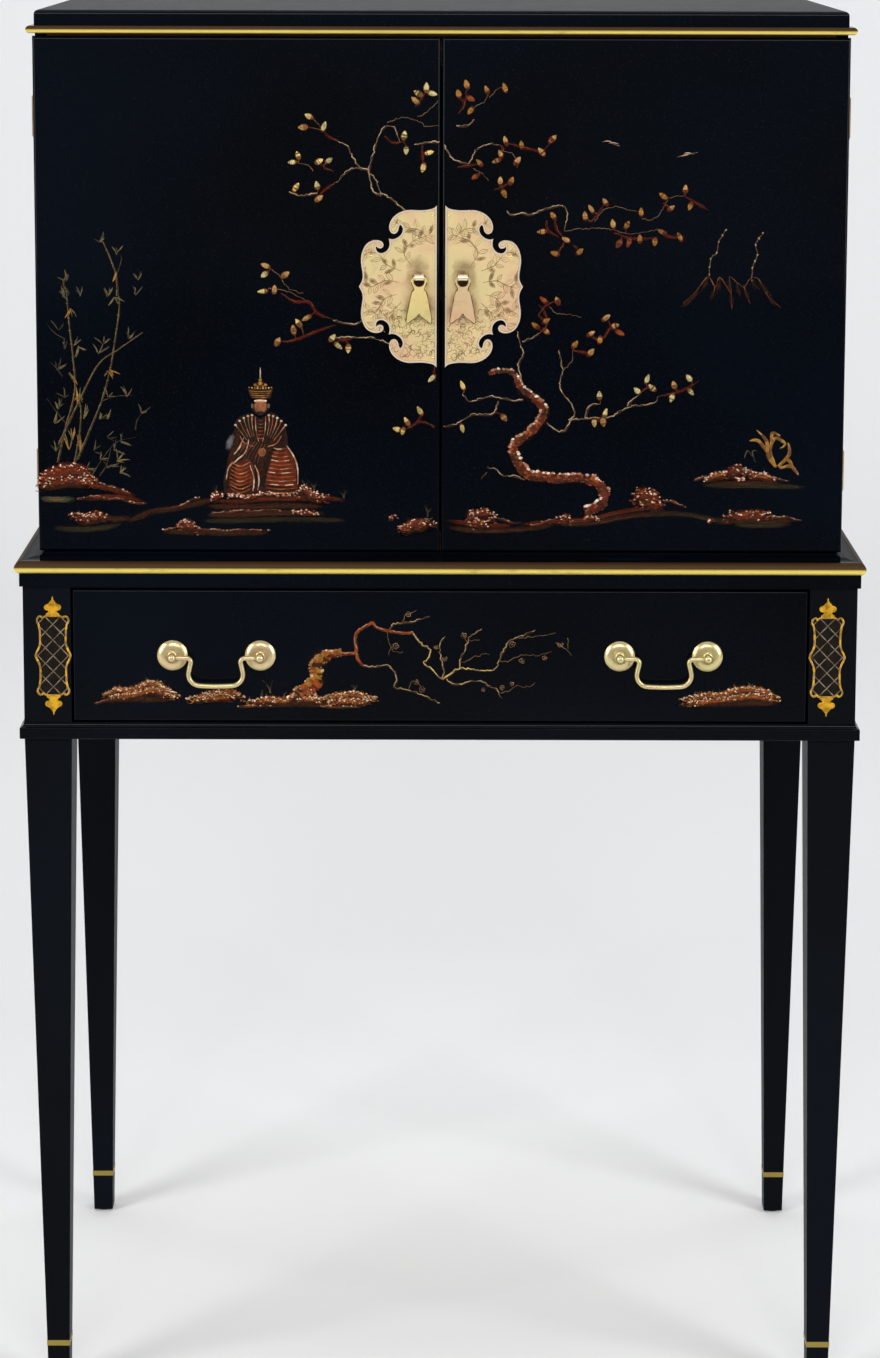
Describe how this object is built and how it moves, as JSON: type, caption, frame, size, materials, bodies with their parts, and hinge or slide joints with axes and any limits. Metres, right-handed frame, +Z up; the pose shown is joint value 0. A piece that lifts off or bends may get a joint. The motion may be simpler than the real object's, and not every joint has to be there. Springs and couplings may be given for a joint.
{
  "type": "cabinet on stand",
  "caption": "Black lacquered two-door cabinet with a scrolled brass lock plate and drop pulls, on a one-drawer stand with square tapered legs and gilt mouldings.",
  "frame": {"origin": "middle of the base, on the floor: the centre of the bounding box in X and Y, at its bottom", "axes": "+X to the right seen from the front, +Y from front to back, +Z up; the doors face -Y"},
  "size_m": [0.859, 0.4926, 1.44],
  "materials": {
    "black_lacquer": "gloss",
    "gilding": "gilded, satin",
    "case_wood": "satin",
    "drawer_wood": "matte",
    "aged_brass": "satin",
    "hinge_brass": "satin",
    "catch_plastic": "matte",
    "strike_steel": "brushed",
    "glide_nylon": "matte"
  },
  "bodies": {
    "cabinet": {"leg_front_left": "black_lacquer", "leg_front_right": "black_lacquer", "leg_back_left": "black_lacquer", "leg_back_right": "black_lacquer", "apron_left": "black_lacquer", "apron_right": "black_lacquer", "apron_back": "black_lacquer", "front_rail_top": "black_lacquer", "front_rail_bottom": "black_lacquer", "waist_moulding_front": "black_lacquer", "waist_moulding_left": "black_lacquer", "waist_moulding_right": "black_lacquer", "ledge_moulding_front": "black_lacquer", "ledge_moulding_left": "black_lacquer", "ledge_moulding_right": "black_lacquer", "stand_top_board": "black_lacquer", "case_plinth": "black_lacquer", "case_top": "black_lacquer", "case_side_left": "black_lacquer", "case_side_right": "black_lacquer", "case_back": "black_lacquer", "ledge_bead_front": "gilding", "ledge_bead_left": "gilding", "ledge_bead_right": "gilding", "top_bead_front": "gilding", "top_bead_left": "gilding", "top_bead_right": "gilding", "leg_bands": "gilding", "case_floor": "case_wood", "case_ceiling": "case_wood", "shelf": "case_wood", "drawer_runner_left": "drawer_wood", "drawer_runner_right": "drawer_wood", "hinge_case_leaves_left": "hinge_brass", "hinge_case_leaves_right": "hinge_brass", "hinge_pins": "hinge_brass", "shelf_pins": "hinge_brass", "door_catch": "catch_plastic", "foot_glides": "glide_nylon"},
    "left_door": {"door_left": "black_lacquer", "hinge_door_leaves_left": "hinge_brass", "door_strike_left": "strike_steel", "lock_plate_left": "aged_brass", "drop_staple_left": "aged_brass"},
    "right_door": {"door_right": "black_lacquer", "hinge_door_leaves_right": "hinge_brass", "door_strike_right": "strike_steel", "lock_plate_right": "aged_brass", "drop_staple_right": "aged_brass"},
    "left_drop": {"drop_pull_left": "aged_brass"},
    "right_drop": {"drop_pull_right": "aged_brass"},
    "drawer": {"drawer_front": "black_lacquer", "drawer_side_left": "drawer_wood", "drawer_side_right": "drawer_wood", "drawer_back": "drawer_wood", "drawer_bottom": "drawer_wood", "pull_rosettes": "aged_brass"},
    "left_bail": {"bail_left": "aged_brass"},
    "right_bail": {"bail_right": "aged_brass"}
  },
  "joints": [
    {"name": "left_door_hinge", "type": "hinge", "parent": "cabinet", "child": "left_door", "pos_m": [-0.4073, -0.19395, 1.1535], "axis": [0, 0, -1], "range_deg": [0, 110]},
    {"name": "right_door_hinge", "type": "hinge", "parent": "cabinet", "child": "right_door", "pos_m": [0.4073, -0.19395, 1.1535], "axis": [0, 0, 1], "range_deg": [0, 110]},
    {"name": "left_drop_swing", "type": "hinge", "parent": "left_door", "child": "left_drop", "pos_m": [-0.0219, -0.21955, 1.174], "axis": [-1, 0, 0], "range_deg": [0, 85]},
    {"name": "right_drop_swing", "type": "hinge", "parent": "right_door", "child": "right_drop", "pos_m": [0.0219, -0.21955, 1.174], "axis": [-1, 0, 0], "range_deg": [0, 85]},
    {"name": "drawer_slide", "type": "slide", "parent": "cabinet", "child": "drawer", "axis": [0, -1, 0], "range_m": [0, 0.3]},
    {"name": "left_bail_swing", "type": "hinge", "parent": "drawer", "child": "left_bail", "pos_m": [-0.2265, -0.24155, 0.789], "axis": [-1, 0, 0], "range_deg": [0, 95]},
    {"name": "right_bail_swing", "type": "hinge", "parent": "drawer", "child": "right_bail", "pos_m": [0.2265, -0.24155, 0.789], "axis": [-1, 0, 0], "range_deg": [0, 95]}
  ]
}
